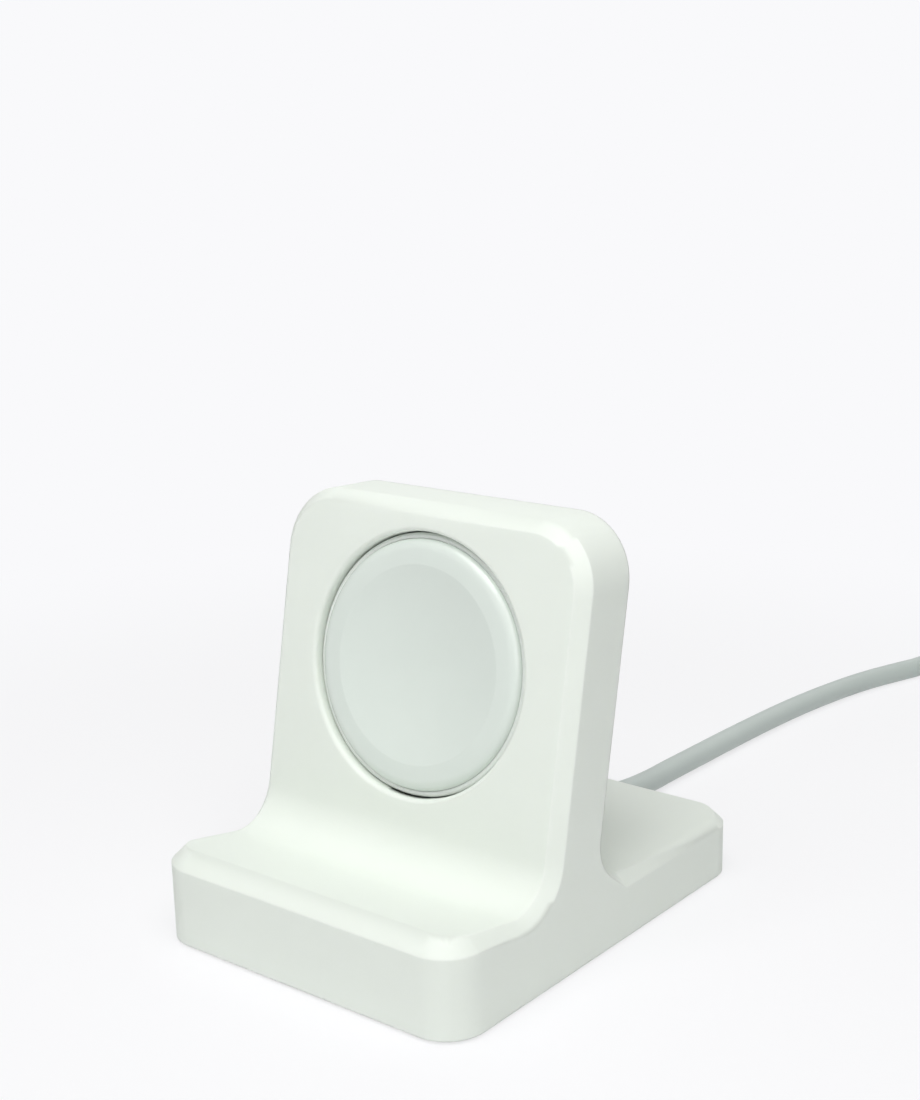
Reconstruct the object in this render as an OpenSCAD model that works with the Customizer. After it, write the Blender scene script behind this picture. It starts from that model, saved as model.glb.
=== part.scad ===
// Stand for a smartwatch: a one-piece moulded stand that holds a round magnetic charging puck in its
// leaning upright, with the puck's lead running down a slot at the back and out behind the foot.
// Millimetres. X to the right, Y to the back, Z up. The stand is centred on X and Y, its pad on Z = 0.

/* [Stand] */
// Width of the stand, the same for foot and upright
stand_w = 41; // [36:0.5:60]
// Depth of the foot from front to back
stand_d = 52.5; // [46:0.5:80]
// Radius of the foot's four corners, seen from above
plan_r = 4.4; // [3.5:0.1:8]
// Width of the flat bevel along the upper edges, measured on each face
bevel = 1.35; // [0.6:0.05:2]

/* [Ledge] */
// Height of the ledge above the body's underside, taken at the front face
ledge_h = 10.7; // [8:0.1:16]
// Fall of the ledge towards the upright, in degrees
ledge_fall = 10.5; // [4:0.5:14]

/* [Upright] */
// Distance from the front face to the foot of the upright's front plane
upright_set = 14; // [12:0.5:20]
// Lean of the upright to the back, in degrees
lean = 11; // [5:0.5:18]
// Thickness of the upright
upright_t = 7.7; // [7.7:0.1:10]
// Height of the upright, measured up its front plane
upright_h = 46.8; // [45.5:0.1:60]
// Fall of the top edge to the back, in degrees
top_fall = 3; // [0:0.5:8]
// Radius of the upright's two top corners
top_r = 7; // [4:0.5:12]
// Radius of the hollow blend between ledge and upright
ledge_blend_r = 5; // [3:0.5:8]

/* [Rear foot] */
// Height of the rear foot above the body's underside
rear_h = 7.1; // [6.2:0.1:12]
// Radius of the hollow blend between upright and rear foot
rear_blend_r = 5; // [3:0.5:8]
// Stretch of the bevel's run-out up the rear blend, of the longest that ends in a point
fade_share = 0.93; // [0.7:0.01:0.95]

/* [Pad] */
// Thickness of the non-slip pad
pad_t = 0.5; // [0.4:0.1:1]
// How far the pad stands out below the body
pad_proud = 0.3; // [0.1:0.05:0.4]
// Distance of the pad's edge from the body's edge
pad_inset = 1.5; // [1:0.1:3]
// Gap round the pad in its recess
pad_gap = 0.1; // [0.05:0.05:0.3]

/* [Pocket] */
// Height of the puck's centre, measured up the upright's front plane
puck_h = 29.7; // [27:0.1:31]
// Depth of the puck's face below the upright's front plane
puck_recess = 0.2; // [0:0.05:0.4]
// Gap round the puck in its pocket
pocket_gap = 0.15; // [0.1:0.05:0.4]
// Radius of the pocket's rounded mouth
mouth_r = 0.5; // [0.2:0.05:0.8]
// Diameter of the opening behind the puck
back_opening_d = 22; // [12:0.5:25]

/* [Puck] */
// Outer diameter of the puck
puck_d = 28; // [26:0.1:31]
// Thickness of the puck
puck_t = 6.7; // [6.4:0.1:6.9]
// Diameter of the cap that fills the puck's front
cap_d = 26.7; // [25:0.1:27]
// Rounding of the cap's rim
cap_edge_r = 1.2; // [0.5:0.05:1.3]
// Thickness of the cap's front
cap_t = 0.8; // [0.6:0.05:0.9]
// Depth of the cap's skirt, from the puck's face
cap_skirt = 2.2; // [1.9:0.05:2.3]
// Thickness of the cap's skirt
skirt_t = 0.9; // [0.6:0.05:1]
// Diameter of the hollow that the watch's back sits in
dish_d = 21.3; // [18:0.1:22]
// Depth of that hollow at its centre
dish_depth = 1.2; // [0.6:0.05:1.3]
// Drop from the puck's face to the shell's lip
lip_drop = 0.75; // [0.4:0.05:1]
// Rounding of the shell's lip
lip_r = 0.4; // [0.2:0.05:0.5]
// Joint between cap and shell
cap_gap = 0.06; // [0.03:0.01:0.12]
// Wall of the shell beside the coil
shell_wall = 1; // [0.8:0.05:1.1]
// Thickness of the shell's back
shell_back_t = 0.9; // [0.7:0.05:1]
// Rounding of the shell's back edge
shell_edge_r = 0.8; // [0.3:0.05:0.9]

/* [Inside the puck] */
// Width of the step that carries the shield plate
step_w = 0.8; // [0.5:0.05:1]
// Thickness of the circuit board
board_t = 0.8; // [0.6:0.05:0.9]
// Diameter of the circuit board
board_d = 23.6; // [20:0.1:24]
// Height of the chips on the board
chip_h = 0.35; // [0.2:0.05:0.4]
// Air between the chips and the shield plate
chip_air = 0.1; // [0.05:0.05:0.3]
// Side of the square controller chip
controller_w = 5; // [4:0.5:6]
// Distance of the controller above the board's middle
controller_rise = 1.5; // [1:0.1:2]
// Width of the two coil drivers
driver_w = 3; // [2:0.5:4]
// Height of the coil drivers along the board
driver_l = 4; // [3:0.5:5]
// Distance of the coil drivers to both sides of the board's middle
driver_set = 6.5; // [5.5:0.1:7]
// Distance of the coil drivers below the board's middle
driver_fall = 1; // [0.5:0.1:1.5]
// Length of the capacitors in the lower row
capacitor_l = 1.6; // [1:0.1:1.8]
// Width of the capacitors
capacitor_w = 0.9; // [0.5:0.1:1.2]
// Spacing of the capacitors
capacitor_pitch = 2.4; // [2:0.1:2.8]
// Distance of the capacitors below the board's middle
capacitor_fall = 6.6; // [6:0.1:7.5]
// Thickness of the steel shield plate
plate_t = 0.5; // [0.3:0.05:0.6]
// Thickness of the ferrite ring
ferrite_t = 0.6; // [0.4:0.05:0.7]
// Thickness of the charging coil
winding_t = 0.8; // [0.5:0.05:0.9]
// Outer diameter of the charging coil
winding_d = 23; // [20:0.1:23.4]
// Inner diameter of the charging coil
winding_bore = 11.6; // [11:0.1:16]
// Diameter of the centre magnet
magnet_d = 9.6; // [7:0.1:10.4]
// Thickness of the centre magnet
magnet_t = 1.7; // [1.2:0.05:1.8]
// Gap between neighbours inside the puck
inner_gap = 0.15; // [0.05:0.05:0.3]

/* [Lead] */
// Diameter of the lead
cable_d = 2.9; // [2.5:0.1:3.2]
// Gap round the lead in its slot
slot_gap = 0.15; // [0.1:0.05:0.3]
// Depth of the lead's axis behind the upright's front plane
lead_depth = 4.1; // [4:0.1:4.3]
// Bend radius of the lead where it turns to the back
bend_r = 6; // [5:0.5:7]
// Floor under the lead, above the pad's recess
slot_floor = 0.4; // [0.3:0.05:1]

/* [Gland] */
// Length of the sleeve where the lead leaves the puck
gland_l = 5; // [3:0.5:6]
// Diameter of that sleeve at the puck
gland_d = 4.4; // [3.8:0.1:4.6]
// Diameter of that sleeve at its end
gland_end_d = 3.7; // [3.4:0.1:3.8]
// Diameter of the neck that passes the shell's wall
neck_d = 3; // [2.4:0.1:3]
// Depth to which the lead goes into the sleeve
gland_socket = 3.5; // [2:0.5:4]
// Gap round the lead in the sleeve
gland_gap = 0.04; // [0.02:0.01:0.08]

/* [Plug] */
// Width of the plug's grip
grip_w = 15; // [13:0.5:18]
// Thickness of the plug's grip
grip_t = 7.6; // [6.5:0.1:9]
// Length of the plug's grip
grip_l = 19; // [14:0.5:26]
// Rounding of the grip's long edges
grip_r = 2; // [1:0.1:3]
// Length of the ribbed strain relief behind the grip
relief_l = 9; // [6:0.5:14]
// Diameter of the strain relief at the grip
relief_d = 6; // [5:0.1:6.4]
// Diameter of the strain relief at the cable
relief_end_d = 4.2; // [3.8:0.1:4.8]
// Number of grooves round the strain relief
relief_grooves = 4; // [2:1:5]
// Width of each groove
groove_w = 0.8; // [0.4:0.1:1]
// Depth of each groove
groove_d = 0.4; // [0.2:0.05:0.5]
// Width of the metal mouth
mouth_w = 12; // [12:0.1:12.2]
// Height of the metal mouth
mouth_h = 4.5; // [4.4:0.1:4.6]
// Length of the metal mouth outside the grip
mouth_l = 12; // [11.5:0.1:12.5]
// Length of the metal mouth inside the grip
mouth_root = 6; // [3:0.5:8]
// Sheet thickness of the metal mouth
sheet_t = 0.3; // [0.25:0.01:0.4]
// Side of the square latch windows
window_w = 2.2; // [1.6:0.1:2.6]
// Distance of the latch windows from the open end
window_set = 5.2; // [4.5:0.1:6]
// Spacing of each pair of latch windows
window_pitch = 5; // [4:0.1:6]
// Thickness of the tongue
tongue_t = 1.8; // [1.5:0.05:1.9]
// Distance from the open end back to the tongue
tongue_set = 0.9; // [0.5:0.1:1.5]
// Width of each contact
contact_w = 1.1; // [0.8:0.05:1.3]
// Spacing of the contacts
contact_pitch = 2.3; // [2:0.1:2.5]
// Thickness of the contacts
contact_t = 0.15; // [0.1:0.01:0.2]
// Length of the contacts
contact_l = 7.5; // [5:0.1:9]
// Distance from the tongue's end back to the contacts
contact_set = 1; // [0.5:0.1:1.5]

/* [Put-away cable] */
// Diameter of the cable coil at the middle of its turns
coil_d = 34; // [30:0.5:40]
// Distance from one turn to the next
turn_pitch = 3; // [2.95:0.05:3.2]
// Turns side by side
coil_columns = 2; // [2:1:2]
// Turns on top of each other
coil_layers = 4; // [4:1:4]

/* [Hidden] */
$fn = 96;

// Cuts reach this far past the faces that they break through
over = 1;
// Round cuts go this much deeper than the flat faces that they blend with, for clean crossing edges
bite = 0.005;
// The front's bevel starts this much above the side's, so that the two cross near the corner's end
lap = 0.04;
// Planes of the foot
front_y = -stand_d / 2;
rear_y = stand_d / 2;
half_w = stand_w / 2;
body_z = pad_proud;
pad_top = pad_t;
rear_z = body_z + rear_h;
// Foot of the upright's front plane, and directions in the plane of Y and Z
face_y = front_y + upright_set;
up = [sin(lean), cos(lean)];
out = [-cos(lean), sin(lean)];
ledge_out = [-cos(ledge_fall), sin(ledge_fall)];
ledge_up = [sin(ledge_fall), cos(ledge_fall)];

// Point h up the front plane and d behind it, as [y, z]
function face_point(h, d = 0) = [face_y, body_z] + h * up - d * out;
// Height of the ledge's plane at y
function ledge_z(y) = body_z + ledge_h - (y - front_y) * tan(ledge_fall);

// Where ledge and upright would meet, and the blend between them
ledge_root_h = (ledge_h - upright_set * tan(ledge_fall)) / (cos(lean) + sin(lean) * tan(ledge_fall));
ledge_root = face_point(ledge_root_h);
ledge_angle = 90 + lean - ledge_fall;
ledge_reach = (ledge_blend_r - bite) / tan(ledge_angle / 2);
ledge_blend_h = ledge_root_h + ledge_reach;
ledge_centre = face_point(ledge_blend_h, bite - ledge_blend_r);
ledge_start = ledge_root + ledge_reach * ledge_out;

// Where upright and rear foot would meet, and the blend between them
rear_root_h = (rear_h + upright_t * sin(lean)) / cos(lean);
rear_root = face_point(rear_root_h, upright_t);
rear_angle = 90 - lean;
rear_reach = (rear_blend_r - bite) / tan(rear_angle / 2);
rear_blend_y = rear_root[0] + rear_reach;
rear_centre = [rear_blend_y, rear_z + rear_blend_r - bite];
bevel_fade = fade_share * acos(rear_blend_r / (rear_blend_r + bevel));

// Section of the bevel's cut: along and out of the surface, from the edge, reaching past both faces
bevel_cut = [[-bevel - over, over], [over, -bevel - over], [over, over]];
// Lower edge of the bevel round the front, level with where the ledge's side bevel starts
front_bevel_z = ledge_z(front_y + plan_r) - bevel / cos(ledge_fall) + lap;
front_lift = plan_r - over / 2;
front_cut = [[over, -over], [over, front_lift], [-front_lift, front_lift]];
// Centre height of the bevel round the top corners, just under the start of their round sides
top_tilt = lean - top_fall;
corner_h = upright_h - top_r / cos(top_tilt) + bevel * tan(top_tilt) - 2 * lap;

// The lead's path: down behind the front plane, round a bend, and level to the back
slot_r = cable_d / 2 + slot_gap;
lead_z = pad_top + slot_floor + slot_r;
lead_turn_h = (lead_z - body_z + lead_depth * sin(lean)) / cos(lean);
bend_reach = bend_r * tan((90 + lean) / 2);
bend_h = lead_turn_h + bend_reach;
bend_y = face_point(lead_turn_h, lead_depth)[0] + bend_reach;
bend_centre = [bend_y, lead_z + bend_r];

// Levels inside the puck, measured back from its face
puck_r = puck_d / 2;
cap_r = cap_d / 2;
shell_front_r = cap_r + cap_gap;
floor_a = puck_t - shell_back_t;
board_a = floor_a - board_t;
chips_a = board_a - chip_h;
plate_back_a = chips_a - chip_air;
plate_a = plate_back_a - plate_t;
ferrite_a = plate_a - ferrite_t;
winding_a = ferrite_a - winding_t;
shell_bore_r = puck_r - shell_wall;
step_r = shell_bore_r - step_w;
dish_r = dish_d / 2;
dish_sphere_r = (dish_r * dish_r + dish_depth * dish_depth) / (2 * dish_depth);
gland_a = lead_depth - puck_recess;
gland_end_h = puck_h - puck_r - gland_l;
lead_top_h = gland_end_h + gland_socket;

// Route of the free cable from the back of the foot to its coil, and from the coil to the plug
coil_centre = [27, 123];
coil_stub = 11;
cable_low = 1.5;
coil_outer_r = coil_d / 2 + turn_pitch * (coil_columns - 1) / 2;
coil_top_z = cable_low + turn_pitch * (coil_layers - 1);
plug_at = [46, 91.5, 4];
cable_route = [
    [0, 26.25, 2.5], [0, 28.5, 2.5], [0, 32, 2.25], [0, 36, 1.8], [0, 40, 1.55], [0, 45, 1.5],
    [0.2, 51, 1.5], [0.4, 58, 1.5], [0.7, 65, 1.5], [1.2, 73, 1.5], [2, 80.5, 1.5], [3.2, 88, 1.5],
    [4.6, 94, 1.5], [6.2, 99, 1.5], [7.6, 103, 1.5], [8.4, 106.5, 1.5], [8.5, 109, 1.5], [8.5, 112, 1.5]
];
tail_route = [
    [45.5, 112, 10.5], [45.5, 110.5, 10.5], [45.6, 107.5, 9.9], [45.8, 104.5, 8.5], [45.9, 101, 6.6],
    [46, 97.5, 4.9], [46, 94.5, 4.1], [46, 92.8, 4], [46, 91.5, 4]
];
cable_sides = 8;
// Route of the lead inside the stand: down from the gland, round the bend and level to the back
bend_steps = 8;
held_route = [
    [0, each face_point(lead_top_h, lead_depth)],
    [0, each face_point((lead_top_h + bend_h) / 2, lead_depth)],
    for (i = [0 : bend_steps])
        let (a = 180 - lean + i * (90 + lean) / bend_steps)
        [0, each bend_centre + bend_r * [cos(a), sin(a)]],
    [0, (bend_y + rear_y) / 2, lead_z],
    [0, rear_y, lead_z]
];

// Puts children at the foot of the upright's front plane: X right, Y up the plane, Z out of it
module on_face() {
    translate([0, face_y, body_z])
        rotate([90 - lean, 0, 0])
            children();
}

// Puts children on the puck's face, with Z out of it
module on_puck() {
    on_face()
        translate([0, puck_h, -puck_recess])
            children();
}

// Turns a drawing in Y and Z into a solid of the given width, centred on X
module across(width) {
    rotate([90, 0, 90])
        linear_extrude(height = width, center = true)
            children();
}

// Copies children to both sides
module both_sides() {
    children();
    mirror([1, 0, 0])
        children();
}

// Rectangle with round corners, centred
module round_rect(w, d, r) {
    square([w - 2 * r, d], center = true);
    square([w, d - 2 * r], center = true);
    for (x = [-1, 1], y = [-1, 1])
        translate([x * (w / 2 - r), y * (d / 2 - r)])
            circle(r);
}

// Side outline of foot and upright in Y and Z; the upright goes past its top
module side_outline() {
    high = upright_h + 2 * upright_t;
    difference() {
        polygon([
            [front_y, body_z], [rear_y, body_z], [rear_y, rear_z], [rear_blend_y, rear_z],
            face_point(rear_root_h + rear_reach, upright_t), face_point(high, upright_t), face_point(high),
            face_point(ledge_blend_h), ledge_start, [front_y, ledge_z(front_y)]
        ]);
        translate(ledge_centre)
            circle(ledge_blend_r);
        translate(rear_centre)
            circle(rear_blend_r);
    }
}

// Everything under the upright's top and its two round corners, along the fall of the top
module top_envelope() {
    long = 2 * stand_d;
    on_face()
        translate([0, upright_h, 0])
            rotate([top_tilt, 0, 0])
                linear_extrude(height = long, center = true) {
                    translate([0, -top_r - stand_d])
                        square([stand_w, 2 * stand_d], center = true);
                    translate([0, -top_r])
                        square([stand_w - 2 * top_r, 2 * top_r], center = true);
                    for (x = [-1, 1])
                        translate([x * (half_w - top_r), -top_r])
                            circle(top_r);
                }
}

// Cut of a bevel round a corner of radius r, about Z, from the X direction to the Y direction
module corner_cut(r, section) {
    rotate_extrude(angle = 90)
        polygon([for (p = section) [r + p[0], p[1]]]);
}

// Bevel of the ledge: level round the front and its corners, then down along both sides
module ledge_bevels() {
    translate([0, front_y, front_bevel_z])
        across(stand_w - 2 * plan_r)
            polygon([for (p = front_cut) [-p[0], p[1]]]);
    both_sides()
        translate([half_w - plan_r, front_y + plan_r, front_bevel_z])
            rotate([0, 0, -90])
                corner_cut(plan_r, front_cut);
    both_sides()
        translate([half_w, ledge_start[0], ledge_start[1]])
            rotate([90 - ledge_fall, 0, 0])
                linear_extrude(height = upright_set)
                    polygon(bevel_cut);
}

// Bevel of the blend between ledge and upright: a cone about the blend's axis at each side
module blend_bevels() {
    inner_r = ledge_blend_r - bite / 2 - over;
    both_sides()
        translate([half_w - bevel - over, ledge_centre[0], ledge_centre[1]])
            rotate([0, 90, 0])
                cylinder(h = bevel + 2 * over, r1 = inner_r, r2 = inner_r + bevel + 2 * over);
}

// Bevel of the upright's front: up both sides, round the top corners and along the top
module upright_bevels() {
    on_face() {
        both_sides()
            translate([half_w, ledge_blend_h, 0])
                rotate([-90, 0, 0])
                    linear_extrude(height = corner_h + top_r / 2 - ledge_blend_h)
                        polygon([for (p = bevel_cut) [p[0], -p[1]]]);
        both_sides()
            translate([half_w - top_r, corner_h, 0])
                corner_cut(top_r, bevel_cut);
        translate([0, corner_h + top_r, 0])
            rotate([90, 0, 90])
                linear_extrude(height = stand_w - 2 * top_r, center = true)
                    polygon(bevel_cut);
    }
}

// Bevel of the rear foot: both sides, the corners and the back
module rear_bevels() {
    both_sides() {
        translate([half_w, rear_blend_y, rear_z])
            rotate([-90, 0, 0])
                linear_extrude(height = rear_y - plan_r - rear_blend_y)
                    polygon([for (p = bevel_cut) [p[0], -p[1]]]);
        translate([half_w - plan_r, rear_y - plan_r, rear_z])
            corner_cut(plan_r, bevel_cut);
    }
    translate([0, rear_y, rear_z])
        across(stand_w - 2 * plan_r)
            polygon(bevel_cut);
}

// Lets the rear bevel run out up the blend: its section, slanted to the point where it ends
module rear_bevel_fade() {
    rise = bevel + rear_blend_r * (1 - cos(bevel_fade));
    end = (1 + lap) * [0, -rear_blend_r * sin(bevel_fade), rise];
    section = [for (p = bevel_cut) [p[0], 0, p[1]]];
    both_sides()
        translate([half_w, rear_blend_y, rear_z])
            polyhedron(
                points = concat(section, [for (p = section) p + end]),
                faces = [[0, 1, 2], [5, 4, 3], [0, 3, 4, 1], [1, 4, 5, 2], [2, 5, 3, 0]]
            );
}

// Pocket for the puck, with a round mouth, and the opening behind it
module puck_pocket() {
    pocket_r = puck_r + pocket_gap;
    on_face()
        translate([0, puck_h, 0])
            rotate_extrude()
                difference() {
                    polygon([
                        [0, -upright_t - over], [back_opening_d / 2, -upright_t - over],
                        [back_opening_d / 2, -puck_recess - puck_t], [pocket_r, -puck_recess - puck_t],
                        [pocket_r, bite - mouth_r], [pocket_r + mouth_r, bite], [pocket_r + mouth_r, over],
                        [0, over]
                    ]);
                    translate([pocket_r + mouth_r, bite - mouth_r])
                        circle(mouth_r);
                }
}

// Slot for the lead, open to the back of the upright and to the top of the rear foot
module lead_slot() {
    deep = bend_r + slot_r;
    high = face_point(puck_h, lead_depth - slot_r);
    across(2 * slot_r) {
        polygon([
            bend_centre, [bend_y, lead_z - slot_r], [rear_y + over, lead_z - slot_r],
            [rear_y + over, high[1]], high, bend_centre + deep * out
        ]);
        translate(bend_centre)
            circle(deep + bite);
    }
}

// Wider part of the slot round the puck's gland
module gland_slot() {
    wide = gland_d + 2 * slot_gap;
    low = gland_end_h - slot_gap;
    on_face()
        translate([-wide / 2, low, -2 * upright_t])
            cube([wide, puck_h - low, 2 * upright_t - lead_depth + wide / 2]);
}

// Recess of the pad in the body's underside
module pad_recess() {
    grow = 2 * (pad_inset - pad_gap);
    translate([0, 0, body_z - over])
        linear_extrude(height = pad_top - body_z + over)
            round_rect(stand_w - grow, stand_d - grow, plan_r - pad_inset + pad_gap);
}

module stand_body() {
    color("#e9efe7")
        difference() {
            intersection() {
                across(stand_w + 2 * over)
                    side_outline();
                linear_extrude(height = body_z + 2 * upright_h)
                    round_rect(stand_w, stand_d, plan_r);
                top_envelope();
            }
            ledge_bevels();
            blend_bevels();
            upright_bevels();
            rear_bevels();
            rear_bevel_fade();
            puck_pocket();
            lead_slot();
            gland_slot();
            pad_recess();
        }
}

module base_pad() {
    grow = 2 * pad_inset;
    color("#c9ccca")
        linear_extrude(height = pad_top)
            round_rect(stand_w - grow, stand_d - grow, plan_r - pad_inset);
}

// Half section of the cap, as radius and height over the puck's face
module cap_section() {
    round_r = cap_r - cap_edge_r;
    difference() {
        union() {
            translate([0, -cap_skirt])
                square([round_r, cap_skirt]);
            translate([0, -cap_skirt])
                square([cap_r, cap_skirt - cap_edge_r]);
            translate([round_r, -cap_edge_r])
                intersection() {
                    circle(cap_edge_r);
                    square(cap_edge_r);
                }
        }
        translate([0, dish_sphere_r - dish_depth])
            circle(dish_sphere_r, $fn = 360);
        difference() {
            translate([0, -cap_skirt - over])
                square([cap_r - skirt_t, cap_skirt + over - cap_t]);
            translate([0, dish_sphere_r - dish_depth])
                circle(dish_sphere_r + cap_t, $fn = 360);
        }
    }
}

module puck_cap() {
    color("#eef2ee")
        on_puck()
            rotate_extrude()
                intersection() {
                    cap_section();
                    translate([0, -puck_t])
                        square([puck_r, puck_t]);
                }
}

// Half section of the shell: back, wall, step for the shield plate and rebate for the cap
module shell_section() {
    difference() {
        translate([0, -puck_t])
            square([puck_r, puck_t - lip_drop]);
        translate([0, -floor_a])
            square([step_r, puck_t]);
        translate([0, -plate_back_a])
            square([shell_bore_r, puck_t]);
        translate([0, -cap_skirt])
            square([shell_front_r, puck_t]);
        translate([puck_r - lip_r, -lip_drop - lip_r])
            difference() {
                square(lip_r + over);
                circle(lip_r);
            }
        translate([puck_r - shell_edge_r, -puck_t + shell_edge_r])
            mirror([0, 1])
                difference() {
                    square(shell_edge_r + over);
                    circle(shell_edge_r);
                }
    }
}

module puck_shell() {
    color("#e6eae6")
        on_puck()
            difference() {
                rotate_extrude()
                    shell_section();
                translate([0, 0, -gland_a])
                    rotate([90, 0, 0])
                        cylinder(h = puck_r + over, d = neck_d + 2 * gland_gap);
            }
}

// Flat ring or disc inside the puck, from its front at a back to its thickness
module puck_ring(outer_d, bore_d, a, thick) {
    on_puck()
        translate([0, 0, -a - thick])
            linear_extrude(height = thick)
                difference() {
                    circle(d = outer_d);
                    circle(d = bore_d);
                }
}

// Flat wound coil, its turns shown as rings on the face that looks at the watch
module charging_coil() {
    turns = 10;
    wire = (winding_d - winding_bore) / 2 / turns;
    color("#b8733a")
        on_puck()
            translate([0, 0, -ferrite_a])
                rotate_extrude() {
                    translate([winding_bore / 2, 0])
                        square([(winding_d - winding_bore) / 2, winding_t - wire / 2]);
                    for (i = [0 : turns - 1])
                        translate([winding_bore / 2 + (i + 0.5) * wire, winding_t - wire / 2])
                            circle(wire / 2);
                }
}

module ferrite_ring() {
    color("#3d3f42")
        puck_ring(2 * shell_bore_r - 4 * inner_gap, magnet_d + 2 * inner_gap, ferrite_a, ferrite_t);
}

module centre_magnet() {
    color("#a9adb2")
        on_puck()
            translate([0, 0, -plate_a])
                cylinder(h = magnet_t, d = magnet_d);
}

// Steel plate behind the ferrite, notched for the gland's wires
module shield_plate() {
    notch = neck_d;
    color("#9aa0a6")
        difference() {
            on_puck()
                translate([0, 0, -plate_back_a])
                    cylinder(h = plate_t, r = shell_bore_r - inner_gap);
            on_puck()
                translate([-notch / 2, -puck_r, -puck_t])
                    cube([notch, puck_r - step_r + step_w, puck_t]);
        }
}

module puck_board() {
    color("#2f6b4a")
        on_puck()
            translate([0, 0, -floor_a])
                cylinder(h = board_t, d = board_d);
}

// Controller, coil driver and capacitors, standing on the board's front
module board_chips() {
    chips = [
        [0, controller_rise, controller_w, controller_w],
        for (x = [-1, 1]) [x * driver_set, -driver_fall, driver_w, driver_l],
        for (i = [-1.5 : 1 : 1.5]) [i * capacitor_pitch, -capacitor_fall, capacitor_l, capacitor_w]
    ];
    color("#2b2d30")
        on_puck()
            for (c = chips)
                translate([c[0] - c[2] / 2, c[1] - c[3] / 2, -board_a])
                    cube([c[2], c[3], chip_h]);
}

// Sleeve moulded on the lead where it leaves the puck, with a neck through the shell's wall
module puck_gland() {
    neck_in = puck_r - shell_bore_r;
    color("#dfe4df")
        on_puck()
            translate([0, -puck_r, -gland_a])
                rotate([90, 0, 0])
                    difference() {
                        union() {
                            cylinder(h = gland_l, d1 = gland_d, d2 = gland_end_d);
                            translate([0, 0, -neck_in])
                                cylinder(h = neck_in + gland_l / 2, d = neck_d);
                        }
                        translate([0, 0, gland_l - gland_socket])
                            cylinder(h = gland_socket + over, d = cable_d + 2 * gland_gap);
                    }
}

// Direction of a route at point i
function heading(route, i) =
    let (a = route[max(i - 1, 0)], b = route[min(i + 1, len(route) - 1)])
    (b - a) / norm(b - a);

// Tube of the cable's diameter along a route, as one closed polyhedron; its flats face along level
module tube(route, level = [0, 0, 1]) {
    n = len(route);
    rings = [
        for (i = [0 : n - 1])
            let (t = heading(route, i), side = cross(t, level) / norm(cross(t, level)), rise = cross(side, t))
            for (k = [0 : cable_sides - 1])
                let (a = 360 * (k + 0.5) / cable_sides)
                route[i] + cable_d / 2 * (cos(a) * side + sin(a) * rise)
    ];
    walls = [
        for (i = [0 : n - 2], k = [0 : cable_sides - 1])
            let (j = (k + 1) % cable_sides, p = i * cable_sides, q = p + cable_sides)
            each [[p + k, q + k, q + j], [p + k, q + j, p + j]]
    ];
    first = [for (k = [0 : cable_sides - 1]) k];
    last = [for (k = [cable_sides - 1 : -1 : 0]) (n - 1) * cable_sides + k];
    polyhedron(points = rings, faces = concat([first], walls, [last]), convexity = 6);
}

module held_lead() {
    color("#b7c1bc")
        tube(held_route, [0, 1, 1]);
}

module cable() {
    color("#b7c1bc")
        tube(cable_route);
}

module plug_tail() {
    color("#b7c1bc")
        tube(tail_route);
}

// Outer shape of the coiled cable, with the straight ends where it comes in and leaves
module cable_coil() {
    width = coil_columns * turn_pitch;
    tall = coil_layers * turn_pitch;
    low = cable_low - cable_d / 2;
    color("#b7c1bc")
        translate([coil_centre[0], coil_centre[1], 0]) {
            translate([0, 0, low])
                rotate_extrude()
                    translate([coil_d / 2, (tall - turn_pitch + cable_d) / 2])
                        round_rect(width, tall - turn_pitch + cable_d, cable_d / 2);
            for (end = [[-1, cable_low], [1, coil_top_z]])
                translate([end[0] * coil_outer_r, 0, end[1]])
                    rotate([90, 0, 0])
                        cylinder(h = coil_stub, d = cable_d);
        }
}

// Puts children on the plug's axis where the strain relief starts, with Z towards the open end
module on_plug() {
    translate(plug_at)
        rotate([90, 0, 0])
            children();
}

// Half section of the ribbed strain relief
module relief_section() {
    pitch = relief_l / (relief_grooves + 1);
    difference() {
        polygon([[0, 0], [relief_end_d / 2, 0], [relief_d / 2, relief_l], [0, relief_l]]);
        for (i = [1 : relief_grooves])
            let (z = i * pitch - groove_w / 2)
            translate([(relief_end_d + (relief_d - relief_end_d) * z / relief_l) / 2 - groove_d, z])
                square([relief_d, groove_w]);
    }
}

module plug_grip() {
    nose = 1.2;
    color("#eef1ee")
        on_plug() {
            rotate_extrude()
                relief_section();
            translate([0, 0, relief_l])
                difference() {
                    intersection() {
                        linear_extrude(height = grip_l)
                            round_rect(grip_w, grip_t, grip_r);
                        translate([0, 0, grip_l / 2])
                            rotate([90, 0, 0])
                                linear_extrude(height = grip_t + over, center = true)
                                    round_rect(grip_w, grip_l, nose);
                    }
                    translate([0, 0, grip_l - mouth_root])
                        linear_extrude(height = mouth_root + over)
                            square([mouth_w, mouth_h], center = true);
                }
        }
}

// Puts children at the root of the metal mouth, inside the grip
module on_mouth() {
    on_plug()
        translate([0, 0, relief_l + grip_l - mouth_root])
            children();
}

module plug_mouth() {
    long = mouth_root + mouth_l;
    color("#c4c8cc")
        on_mouth()
            difference() {
                linear_extrude(height = long)
                    square([mouth_w, mouth_h], center = true);
                translate([0, 0, -over])
                    linear_extrude(height = long + 2 * over)
                        square([mouth_w - 2 * sheet_t, mouth_h - 2 * sheet_t], center = true);
                for (x = [-1, 1])
                    translate([x * window_pitch / 2, 0, long - window_set])
                        cube([window_w, mouth_h + over, window_w], center = true);
            }
}

module plug_tongue() {
    long = mouth_root + mouth_l - tongue_set;
    top = mouth_h / 2 - sheet_t;
    color("#f2f3f2")
        on_mouth()
            translate([-mouth_w / 2 + sheet_t, top - tongue_t, 0])
                cube([mouth_w - 2 * sheet_t, tongue_t, long]);
}

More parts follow.
